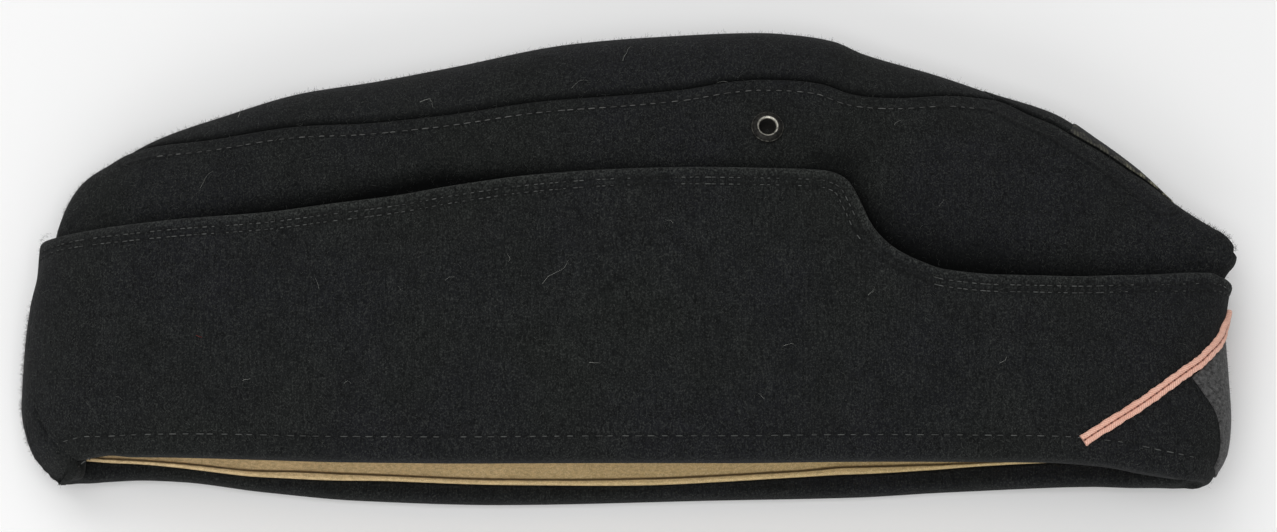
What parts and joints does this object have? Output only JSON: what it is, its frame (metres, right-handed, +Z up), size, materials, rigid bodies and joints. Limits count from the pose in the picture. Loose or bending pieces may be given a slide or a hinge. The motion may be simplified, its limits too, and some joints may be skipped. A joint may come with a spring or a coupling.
{
  "type": "garrison cap",
  "caption": "Black wool side cap lying folded on its left side, with a scooped turn-up, braid chevron, vent eyelets and an open lined head hollow.",
  "frame": {"origin": "middle of the bounding box in plan, on the surface that the cap lies on", "axes": "+X from the back of the cap to its front, +Y from the hem to the crown, +Z up, out of the wearer's right side"},
  "size_m": [0.2932, 0.1152, 0.0364],
  "materials": {
    "wool": "matt fulled wool with a short nap",
    "lining_cloth": "plain woven tan cotton",
    "nickel": "dull nickel with tarnish",
    "braid": "ribbed silky braid",
    "grey_cloth": "coarse grey felt",
    "patch_cloth": "woven patch with a pale whipped edge"
  },
  "bodies": {
    "root": {"crown_panel_right": "wool", "crown_panel_left": "wool", "crown_top": "wool", "turn_up_right": "wool", "turn_up_left": "wool", "lining": "lining_cloth", "vent_eyelet_right": "nickel", "vent_eyelet_left": "nickel", "braid_chevron": "braid", "front_lozenge": "grey_cloth", "crown_patch": "patch_cloth"}
  },
  "joints": []
}
